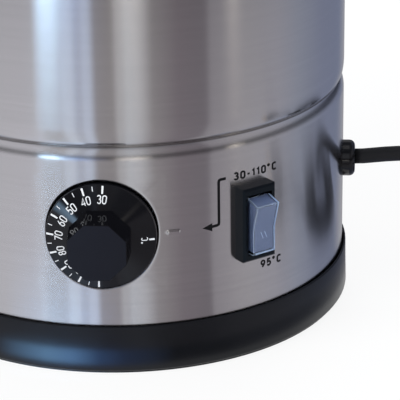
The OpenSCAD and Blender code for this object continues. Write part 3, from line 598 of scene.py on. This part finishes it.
def brush_group():
    """Lines left by a brush: fine ones, and broad faint streaks, running at one height each."""
    group, takes, gives = new_group(
        "brushed lines", {"Across": 0.0, "Line Width": 0.0003, "Line Length": 0.08}, ["Lines", "Streaks"])
    place = add(group, "SeparateXYZ", Vector=add(group, "TexCoord").outputs["Object"]).outputs
    for label, wide, long, detail in (("Lines", 1, 1, 3), ("Streaks", 9, 3, 2)):
        length = maths(group, "MULTIPLY", takes["Line Length"], long)
        width = maths(group, "MULTIPLY", takes["Line Width"], wide)
        vector = add(group, "CombineXYZ", X=maths(group, "DIVIDE", place["X"], length),
                     Y=maths(group, "DIVIDE", place["Y"], length),
                     Z=maths(group, "DIVIDE", takes["Across"], width)).outputs[0]
        noise = add(group, "TexNoise", Vector=vector, Scale=1.0, Detail=detail, Roughness=0.6)
        group.links.new(noise.outputs["Fac"], gives[label])
    return group


brushed_lines = brush_group()


line_weight, streak_weight, quarter_turn = 0.6, 0.4, 0.25


def brushed(name, dark, pale, rough, width=0.0003, length=0.08, depth=0.000004, rings=False, stretch=0):
    """Brushed or turned steel, whose lines run level or in rings. A stretch draws its highlights
    out a quarter turn from them."""
    mat, tree, out = new_material(name)
    x, y, z = add(tree, "SeparateXYZ", Vector=add(tree, "TexCoord").outputs["Object"]).outputs
    brush = add(tree, "Group", node_tree=brushed_lines, Across=off_axis(tree, x, y) if rings else z,
                **{"Line Width": width, "Line Length": length})
    lines, streaks = brush.outputs
    tone = maths(tree, "ADD", maths(tree, "MULTIPLY", lines, line_weight),
                 maths(tree, "MULTIPLY", streaks, streak_weight))
    drawn_out = {}
    if stretch:
        tangent = add(tree, "Tangent", direction_type="RADIAL", axis="Z")
        drawn_out = {"Anisotropic": stretch, "Anisotropic Rotation": quarter_turn,
                     "Tangent": tangent.outputs[0]}
    shader = add(tree, "BsdfPrincipled", Metallic=1.0, Roughness=sloped(tree, lines, 0, 1, *rough),
                 Normal=bumped(tree, lines, depth),
                 **{"Base Color": blend(tree, tone, (*dark, 1), (*pale, 1))}, **drawn_out)
    tree.links.new(shader.outputs[0], out.inputs["Surface"])
    return mat


body_steel = brushed("brushed body steel", (0.54, 0.53, 0.525), (0.66, 0.645, 0.635), (0.14, 0.19),
                     stretch=1.0)
steel_body.data.materials.append(body_steel)


# ---------------------------------------------------------------------------------------------
# Base ring and foot: a satin black moulding that the drum sits in, with a thin lip standing
# clear of the steel, and a soft rubber ring underneath that keeps it from sliding.
base_plastic = moulded("base plastic", (0.004, 0.0045, 0.006), (0.007, 0.0075, 0.010), (0.30, 0.38), 0.0007,
                       0.00003, 0.25)
foot_rubber = moulded("foot rubber", (0.016, 0.016, 0.017), (0.03, 0.03, 0.03), (0.7, 0.86), 0.0006)
softened("base_ring", 0.0003)
softened("foot_ring", 0.0005)
finish_nodes(base_plastic, "base_ring")
finish_nodes(foot_rubber, "foot_ring")


# ---------------------------------------------------------------------------------------------
# Under the base: a zinc-coated steel plate on four screws, and the boil-dry cut-out held in it
# by a thin nut, with its red reset button inside.
def metal(name, dark, pale, rough, grain_size=0.0004, depth=0.000006):
    """Bare or plated metal, which mottles more finely."""
    return moulded(name, dark, pale, rough, grain_size, depth, mottle_size=0.012, Metallic=1.0)


zinc_sheet = metal("zinc sheet", (0.48, 0.49, 0.50), (0.62, 0.62, 0.61), (0.34, 0.48), 0.0012, 0.00001)
plated_steel = metal("plated steel", (0.58, 0.58, 0.57), (0.68, 0.68, 0.67), (0.22, 0.32))
thermostat_black = moulded("phenolic", (0.022, 0.018, 0.016), (0.04, 0.034, 0.03), (0.38, 0.5), 0.0003)
reset_red = moulded("reset red", (0.42, 0.02, 0.015), (0.52, 0.03, 0.02), (0.3, 0.38))
finish_nodes(zinc_sheet, "bottom_plate", "bulb_clips")
finish_nodes(plated_steel, "base_screws", "cutout_nut")
finish_nodes(thermostat_black, "cutout_body")
finish_nodes(reset_red, "reset_button")


# ---------------------------------------------------------------------------------------------
# Tank and heating: a drawn stainless tank hung inside the drum by its rim, with a cast
# aluminium plate and its bonded element pressed against the tank's floor.
tank_steel = brushed("tank steel", (0.60, 0.60, 0.59), (0.72, 0.715, 0.70), (0.2, 0.3), width=0.0006,
                     length=0.14)
cast_aluminium = metal("cast aluminium", (0.56, 0.57, 0.58), (0.70, 0.70, 0.71), (0.4, 0.55), 0.0009,
                       0.00003)
brass = metal("brass", (0.60, 0.42, 0.16), (0.74, 0.55, 0.24), (0.24, 0.36))
copper = metal("copper", (0.62, 0.30, 0.18), (0.76, 0.40, 0.26), (0.26, 0.38))
finish_nodes(tank_steel, "inner_tank")
finish_nodes(cast_aluminium, "heat_plate", "heating_element")
finish_nodes(brass, "element_terminals")


# ---------------------------------------------------------------------------------------------
# Controls and wiring inside: two thermostats with their bulbs and capillaries, the mains
# terminal block, the earth stud and the sheathed wires between them.
steatite = moulded("steatite", (0.70, 0.68, 0.62), (0.80, 0.78, 0.73), (0.42, 0.55))
wire_sheath = moulded("wire sheath", (0.60, 0.60, 0.57), (0.72, 0.72, 0.68), (0.45, 0.6), 0.0006, 0.00004)
finish_nodes(thermostat_black, "preset_thermostat")
finish_nodes(steatite, "thermostat_body", "terminal_block")
finish_nodes(copper, "sensor_bulbs", "capillaries")
finish_nodes(plated_steel, "thermostat_screws", "dial_spindle")
finish_nodes(brass, "earth_stud")
finish_nodes(wire_sheath, "internal_wires")


# ---------------------------------------------------------------------------------------------
# Printed marks on the drum: a bent arrow from a temperature range to the dial's pip, and the
# preset temperature under the switch. Black ink, screened straight onto the steel.
ink_thick, arrow_line, arrow_half = 0.00012, 0.0016, 0.0024
# Places on the drum are a turn in degrees and a height.
arrow_tip, arrow_foot = (24.5, 0.0846), (27.0, 0.0844)
arrow_route = [(27.0, 0.0847), (28.35, 0.08505), (28.68, 0.0854), (28.8, 0.0863), (28.8, 0.0985),
               (28.8, 0.1108), (28.92, 0.1118), (29.3, 0.1122), (30.7, 0.1123)]
label_tall, label_stroke, label_gap, label_wide = 0.005, 0.0011, 0.0009, 1.3
labels = (("30-110°C", 39.3, 0.1098), ("95°C", 44.0, 0.0517))
band_spread = 0.3


def band(bm, line, width, onto, closed=False):
    """A printed line: a thin flat band along 2-D points, which onto(u, v, lift) lays in place.
    band_spread keeps it from reaching out far at a sharp corner."""
    line = [Vector(p) for p in line]
    count, rings = len(line), []
    for i, point in enumerate(line):
        ways = []
        if i or closed:
            ways.append((point - line[i - 1]).normalized())
        if i < count - 1 or closed:
            ways.append((line[(i + 1) % count] - point).normalized())
        mean = sum(ways, Vector((0, 0))) / len(ways)
        side = Vector((-mean.y, mean.x)) * (width / 2 / max(mean.length_squared, band_spread))
        edges = (point + side, 0), (point - side, 0), (point - side, ink_thick), (point + side, ink_thick)
        rings.append([bm.verts.new(onto(*spot, lift)) for spot, lift in edges])
    if closed:
        bridged(bm, rings, closed=True)
    else:
        solid(bm, rings)


def oval(x, y, wide, tall, start=0, end=360, steps=20):
    """Points round an ellipse, without its last point where it closes on itself."""
    count = steps if abs(end - start) == 360 else steps + 1
    angles = [radians(start + (end - start) * i / steps) for i in range(count)]
    return [(x + wide * cos(a), y + tall * sin(a)) for a in angles]


# Each sign: its width, and its strokes as (points, whether they close), one unit tall.
tall_round = oval(0.24, 0.76, 0.24, 0.24, 0, 180, 10) + oval(0.24, 0.24, 0.24, 0.24, 180, 360, 10)
signs = {
    "0": (0.48, [(tall_round, True)]),
    "1": (0.26, [([(0.0, 0.76), (0.2, 1), (0.2, 0)], False)]),
    "3": (0.46, [(oval(0.22, 0.76, 0.21, 0.24, 155, -80, 12)
                  + oval(0.22, 0.27, 0.24, 0.27, 80, -155, 14), False)]),
    "4": (0.52, [([(0.4, 0), (0.4, 1), (0, 0.28), (0.52, 0.28)], False)]),
    "5": (0.46, [([(0.42, 1), (0.07, 1), (0.04, 0.54)]
                  + oval(0.22, 0.31, 0.24, 0.31, 125, -150, 14), False)]),
    "6": (0.48, [(oval(0.24, 0.3, 0.24, 0.3), True), ([(0.012, 0.36), (0.1, 0.66), (0.34, 1)], False)]),
    "7": (0.46, [([(0, 1), (0.46, 1), (0.14, 0)], False)]),
    "8": (0.48, [(oval(0.24, 0.76, 0.2, 0.24), True), (oval(0.24, 0.27, 0.24, 0.27), True)]),
    "9": (0.48, [(oval(0.24, 0.7, 0.24, 0.3), True), ([(0.468, 0.64), (0.38, 0.34), (0.14, 0)], False)]),
    "C": (0.5, [(oval(0.28, 0.76, 0.27, 0.24, 35, 180, 9)
                 + oval(0.28, 0.24, 0.27, 0.24, 180, 325, 9), False)]),
    "°": (0.3, [(oval(0.1, 0.93, 0.09, 0.09, steps=10), True)]),
    "-": (0.28, [([(0, 0.46), (0.28, 0.46)], False)])}


def lettering(bm, text, tall, stroke, gap, onto, wider=1.0):
    """A line of signs, centred on u = 0 with its foot at v = 0."""
    unit = tall - stroke
    across = unit * wider
    total = sum(signs[sign][0] * across for sign in text) + (gap + stroke) * (len(text) - 1)
    start = -total / 2
    for sign in text:
        wide, strokes = signs[sign]
        for points, closed in strokes:
            band(bm, [(start + x * across, stroke / 2 + y * unit) for x, y in points], stroke, onto, closed)
        start += wide * across + stroke + gap


def onto_drum(turn, height):
    """Lays u round the drum from a turn in degrees, and v up it from a height."""
    def onto(u, v, lift):
        angle, reach = radians(turn) + u / body_radius, body_radius + lift
        return reach * cos(angle), reach * sin(angle), height + v
    return onto


def around(turn):
    """How far round the drum a turn in degrees is."""
    return radians(turn) * body_radius


bm = bmesh.new()
arrow_head = [arrow_tip, (arrow_foot[0], arrow_foot[1] - arrow_half),
              (arrow_foot[0], arrow_foot[1] + arrow_half)]
band(bm, [(around(t), z) for t, z in arrow_route], arrow_line, onto_drum(0, 0))
solid(bm, [[bm.verts.new(onto_drum(0, 0)(around(t), z, lift)) for t, z in arrow_head]
           for lift in (0, ink_thick)])
for text, turn, height in labels:
    lettering(bm, text, label_tall, label_stroke, label_gap, onto_drum(turn, height), label_wide)
printed_marks = finished(bm, "printed_marks", smooth=False)
black_ink = moulded("black ink", (0.004, 0.004, 0.005), (0.007, 0.007, 0.008), (0.45, 0.6), 0.0002,
                    0.000004, 0.15)
printed_marks.data.materials.append(black_ink)
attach(printed_marks, "root")


# ---------------------------------------------------------------------------------------------
# Thermostat dial: a glossy black moulding pushed onto the spindle, with a sloped scale ring and
# an eight-sided grip whose face is matt. The scale is printed in white.
dial_back, dial_front = dial_low.x, dial_high.x
scale_foot = dial_back + 0.005
scale_outer, scale_slope = 0.031, 0.32
degrees_a_step, turn_of_30 = 22.5, -3.5
long_mark, short_mark = (0.0264, 0.0306), (0.0278, 0.0303)
long_wide, short_wide = 0.00105, 0.00045
digit_tall, digit_stroke, digit_gap, digit_foot = 0.0048, 0.00057, 0.0004, 0.0210
sign_tall, sign_stroke, sign_gap, sign_foot, sign_turn = 0.0037, 0.0005, 0.0003, 0.0228, -92.6
sign_mark, sign_mark_turn = (0.0272, 0.0301), -91.6


def onto_scale(turn, foot, turned_tall=0):
    """Lays u round the scale from a turn counter-clockwise of the top, and v outward from its foot.
    A sign of turned_tall stands on its head."""
    def onto(u, v, lift):
        if turned_tall:
            u, v = -u, turned_tall - v
        reach = foot + v
        angle = radians(turn) - u / (foot + digit_tall / 2)
        height = scale_foot + scale_slope * (scale_outer - reach)
        return height + lift, -reach * sin(angle), dial_height + reach * cos(angle)
    return onto


def turn_of(warmth):
    """Where a temperature stands on the scale."""
    return turn_of_30 + (warmth - 30) / 10 * degrees_a_step


bm = bmesh.new()
for warmth in range(30, 111, 5):
    long = warmth % 10 == 0
    low, high = long_mark if long else short_mark
    band(bm, [(0, 0), (0, high - low)], long_wide if long else short_wide, onto_scale(turn_of(warmth), low))
    if long:
        lettering(bm, str(warmth), digit_tall, digit_stroke, digit_gap,
                  onto_scale(turn_of(warmth), digit_foot))
band(bm, [(0, 0), (0, sign_mark[1] - sign_mark[0])], long_wide, onto_scale(sign_mark_turn, sign_mark[0]))
lettering(bm, "°C", sign_tall, sign_stroke, sign_gap,
          onto_scale(sign_turn, sign_foot, turned_tall=sign_tall))
dial_scale = finished(bm, "dial_scale", smooth=False)
white_ink = moulded("white ink", (0.74, 0.76, 0.80), (0.84, 0.86, 0.89), (0.35, 0.5), 0.0002, 0.000004)
dial_scale.data.materials.append(white_ink)
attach(dial_scale, "dial")

skirt_edge, back_edge, scale_edge = 0.0005, 0.0003, 0.0001
skirt_wall, skirt_depth, grip_bore = 0.0025, 0.0035, 0.0165
grip_foot_reach, grip_face_reach, grip_lean = 0.01894, 0.01774, 0.00002
grip_corner, grip_edge = 0.0007, 0.0003
# How far in from both faces the middle of a rounded edge lies, as a share of its radius.
edge_share = 0.3


def dial_ring(bm, x, points):
    """A ring of (across, up) points about the dial's axis."""
    return [bm.verts.new((x, y, dial_height + up)) for y, up in points]


def eight_sided(reach):
    """(across, up) points round an octagon with rounded corners and a flat on top."""
    points = []
    corner_reach = reach - grip_corner / cos(radians(22.5))
    for k in range(8):
        turn = radians(22.5 + 45 * k)
        for step in (-22.5, -7.5, 7.5, 22.5):
            way = turn + radians(step)
            points.append((corner_reach * sin(turn) + grip_corner * sin(way),
                           corner_reach * cos(turn) + grip_corner * cos(way)))
    return points


skirt = [(dial_back, dial_round - skirt_wall), (dial_back, dial_round - skirt_edge),
         (dial_back + back_edge, dial_round), (scale_foot - skirt_edge, dial_round),
         (scale_foot - scale_edge, dial_round - skirt_edge * edge_share), (scale_foot, scale_outer),
         (scale_foot + scale_slope * (scale_outer - grip_bore), grip_bore),
         (dial_back + skirt_depth, grip_bore), (dial_back + skirt_depth, dial_round - skirt_wall)]
grip = [(scale_foot, grip_foot_reach), (dial_front - 2 * grip_edge, grip_face_reach + grip_lean),
        (dial_front - grip_edge, grip_face_reach),
        (dial_front - grip_edge * edge_share, grip_face_reach - grip_edge * edge_share),
        (dial_front, grip_face_reach - grip_edge)]
bm = bmesh.new()
bridged(bm, [dial_ring(bm, x, circle(reach, 128)) for x, reach in skirt], closed=True)
sides, face = solid(bm, [dial_ring(bm, x, eight_sided(reach)) for x, reach in grip])
face.material_index = 1
for side in sides:
    side.material_index = 2
dial_cap = finished(bm, "dial_cap")
for face in dial_cap.data.polygons:
    face.use_smooth = len(face.vertices) == 4
dial_cap.data.set_sharp_from_angle(angle=radians(28))
dial_gloss = moulded("dial gloss", (0.003, 0.003, 0.004), (0.006, 0.006, 0.008), (0.05, 0.09), 0.0004,
                     0.000003, 0.32)
dial_matt = moulded("dial face", (0.007, 0.008, 0.013), (0.010, 0.011, 0.018), (0.5, 0.58), 0.0003,
                    specular=0.15)
# The grip's sides take the dial's gloss with its reflections turned far down, a painted shade that keeps
# them dark.
dial_side = moulded("grip side", (0.003, 0.003, 0.004), (0.006, 0.006, 0.008), (0.06, 0.1), 0.0004,
                    0.000003, 0.06)
for finish in (dial_gloss, dial_matt, dial_side):
    dial_cap.data.materials.append(finish)
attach(dial_cap, "dial")
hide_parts("dial_knob")


# ---------------------------------------------------------------------------------------------
# Switch: a rocker in a glossy black bezel clipped into the drum. A clear bluish cap covers the
# darker rocker inside, with two slanted pale strokes on the rocker under it, and pale bars along the
# cap's edges are painted highlights, broader on its right side and its bottom.
# Its blue Specular Tint paints a blue cast into the reflections on the bezel and on the gland's nut.
switch_black = moulded("switch black", (0.0025, 0.0028, 0.0036), (0.004, 0.0044, 0.0058), (0.22, 0.3),
                       0.0004, 0.000008, 0.22, **{"Specular Tint": (0.55, 0.8, 1.0, 1)})
rocker_blue = moulded("rocker core", (0.22, 0.23, 0.29), (0.29, 0.30, 0.37), (0.3, 0.4), 0.0004, 0.00001)
softened("switch_frame", 0.0003)
finish_nodes(switch_black, "switch_frame", "switch_body")
finish_nodes(brass, "switch_terminals")
softened("rocker", 0.0003)
finish_nodes(rocker_blue, "rocker")


def clear(name, dark, pale, rough, mottle_size, index):
    """Clear plastic or glass of a refractive index, without a skin."""
    return moulded(name, dark, pale, rough, depth=0, mottle_size=mottle_size, IOR=index,
                   **{"Transmission Weight": 1.0})


clear_cap = clear("clear cap", (0.62, 0.73, 0.92), (0.72, 0.81, 0.97), (0.04, 0.12), 0.006, 1.49)
softened("switch_cap", 0.0003)
finish_nodes(clear_cap, "switch_cap")

rocker_pivot, rocker_rest = 0.137, radians(7.5)
cap_half, cap_foot, cap_corner, cap_middle = 0.0075, (0.0022, 0.0169), (0.0123, 0.0154), 0.0103
edge_thin, edge_thick, edge_steps = 0.00011, 0.0006, 8
corner_down, corner_back, corner_up = 0.0006, 0.0004, 0.0001
mark_centre, mark_tall, mark_lean, mark_apart, mark_wide = -0.0046, 0.0042, 0.0017, 0.0026, 0.0005
core_middle, core_corner, core_reach = 0.0091, 0.0107, 0.0141


def at_rocker(out_by, u, v):
    """A place on the rocker: out from its pivot, across it and up it."""
    x, z = (rocker_pivot + out_by * cos(rocker_rest) + v * sin(rocker_rest),
            switch_height - out_by * sin(rocker_rest) + v * cos(rocker_rest))
    turn = radians(switch_turn)
    return Vector((x * cos(turn) - u * sin(turn), x * sin(turn) + u * cos(turn), z))


def onto_rocker(u, v, lift):
    """Lays u across the rocker's front and v up it, on the core under the cap."""
    return at_rocker(core_middle + (core_corner - core_middle) * abs(v) / core_reach + lift, u, v)


bm = bmesh.new()
for middle in (-mark_apart / 2, mark_apart / 2):
    band(bm, [(middle - mark_lean / 2, mark_centre + mark_tall / 2),
              (middle + mark_lean / 2, mark_centre - mark_tall / 2)], mark_wide, onto_rocker)
rocker_marks = finished(bm, "rocker_marks")
rocker_marks.data.materials.append(white_ink)
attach(rocker_marks, "rocker")

# Painted highlights: pale bars along the clear cap's edges stand for the light that they catch, broader
# along its right side and its bottom.
bm = bmesh.new()
for side, thick in ((-1, edge_thin), (1, edge_thick)):
    half = [(cap_foot[0] + 2 * thick, cap_foot[1] - thick),
            (cap_corner[0] - corner_back, cap_corner[1] - thick + corner_up),
            (cap_corner[0], cap_corner[1] - corner_down)]
    whole = [(out_by, -v) for out_by, v in half] + [(cap_middle, 0)] + half[::-1]
    u = side * (cap_half - thick)
    swept(bm, [at_rocker(out_by - thick, u, v) for out_by, v in whole], thick, edge_steps)
for end, thick in ((-1, edge_thick), (1, edge_thin)):
    swept(bm, [at_rocker(cap_corner[0] - thick, u, end * (cap_corner[1] - thick))
               for u in (-cap_half + 2 * thick, cap_half - 2 * thick)], thick, edge_steps)
cap_edge_highlights = finished(bm, "cap_edge_highlights")
painted_edge_highlight = moulded("painted edge highlight", (0.34, 0.44, 0.60), (0.44, 0.54, 0.72), (0.2, 0.3), 0.0003, 0.000005)
cap_edge_highlights.data.materials.append(painted_edge_highlight)
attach(cap_edge_highlights, "rocker")


# ---------------------------------------------------------------------------------------------
# Gland, plug and tie: the lead leaves the urn through a glossy round gland with a nut inside,
# its coil is held by a soft strap, and it ends in a moulded plug with brass pins.
gloss_black = moulded("gloss black", (0.003, 0.003, 0.004), (0.006, 0.006, 0.007), (0.08, 0.14), 0.0004,
                      0.000005, 0.35)
strap = moulded("tie strap", (0.02, 0.02, 0.022), (0.036, 0.036, 0.038), (0.6, 0.75), 0.0008, 0.00008)
softened("plug_body", 0.0006)
finish_nodes(gloss_black, "cord_gland")
finish_nodes(switch_black, "gland_nut")
finish_nodes(strap, "coil_tie")
finish_nodes(cord_rubber, "plug_body")
finish_nodes(brass, "plug_pins")


# ---------------------------------------------------------------------------------------------
# Tap: a moulded black body with a shank through both walls, sealed by silicone washers and a
# nut. A sprung lever on its bonnet lifts the seat cup.
tap_black = moulded("tap black", (0.009, 0.009, 0.010), (0.015, 0.015, 0.016), (0.22, 0.32),
                    depth=0.000015)
silicone = moulded("silicone", (0.55, 0.53, 0.50), (0.66, 0.64, 0.60), (0.45, 0.6), 0.0005, 0.00001)
softened("tap_lever", 0.0007)
softened("tap_bonnet", 0.0003)
finish_nodes(tap_black, "tap_body", "tap_bonnet", "tap_lever")
finish_nodes(plated_steel, "tap_nut", "lever_pin", "tap_spring", "tap_stem")
finish_nodes(silicone, "tap_washers", "tap_seat_cup")


# ---------------------------------------------------------------------------------------------
# Sight gauge: a glass tube between a tee on the tap's shank and a bracket below the rim, in
# rubber seals, behind a slotted guard of polished steel.
rim_steel = brushed("polished steel", (0.66, 0.655, 0.65), (0.76, 0.75, 0.74), (0.14, 0.2), width=0.0004,
                    length=0.12, depth=0.000002)
gauge_glass = clear("gauge glass", (0.93, 0.96, 0.95), (0.97, 0.99, 0.98), (0.0, 0.03), 0.02, 1.47)
softened("gauge_bracket", 0.0005)
finish_nodes(gauge_glass, "gauge_glass")
finish_nodes(rim_steel, "gauge_guard")
finish_nodes(tap_black, "gauge_tee", "gauge_bracket")
finish_nodes(foot_rubber, "gauge_seals")
finish_nodes(plated_steel, "gauge_screw")


# ---------------------------------------------------------------------------------------------
# Handles: two heat-proof black mouldings on the urn's sides, each with two posts screwed
# through the drum from inside.
handle_black = moulded("handle black", (0.011, 0.011, 0.012), (0.018, 0.018, 0.019), (0.3, 0.42), 0.0008,
                       0.00004)
finish_nodes(handle_black, "handle_left", "handle_right")
finish_nodes(plated_steel, "handle_screws", "handle_washers")


# ---------------------------------------------------------------------------------------------
# Rim and lid: a rolled steel ring that joins drum and tank, and a spun lid with steam vents,
# whose knob stands on a rubber washer and is screwed on from inside.
lid_steel = brushed("spun lid steel", (0.62, 0.615, 0.61), (0.74, 0.73, 0.72), (0.22, 0.3), width=0.0004,
                    length=0.1, depth=0.000003, rings=True, stretch=0.6)
softened("lid_knob", 0.0006)
finish_nodes(rim_steel, "rim_ring")
finish_nodes(lid_steel, "lid_dome")
finish_nodes(handle_black, "lid_knob")
finish_nodes(foot_rubber, "lid_washer")
finish_nodes(plated_steel, "lid_screw")


# ---------------------------------------------------------------------------------------------
# The scene brought up to date at the end.
bpy.context.view_layer.update()
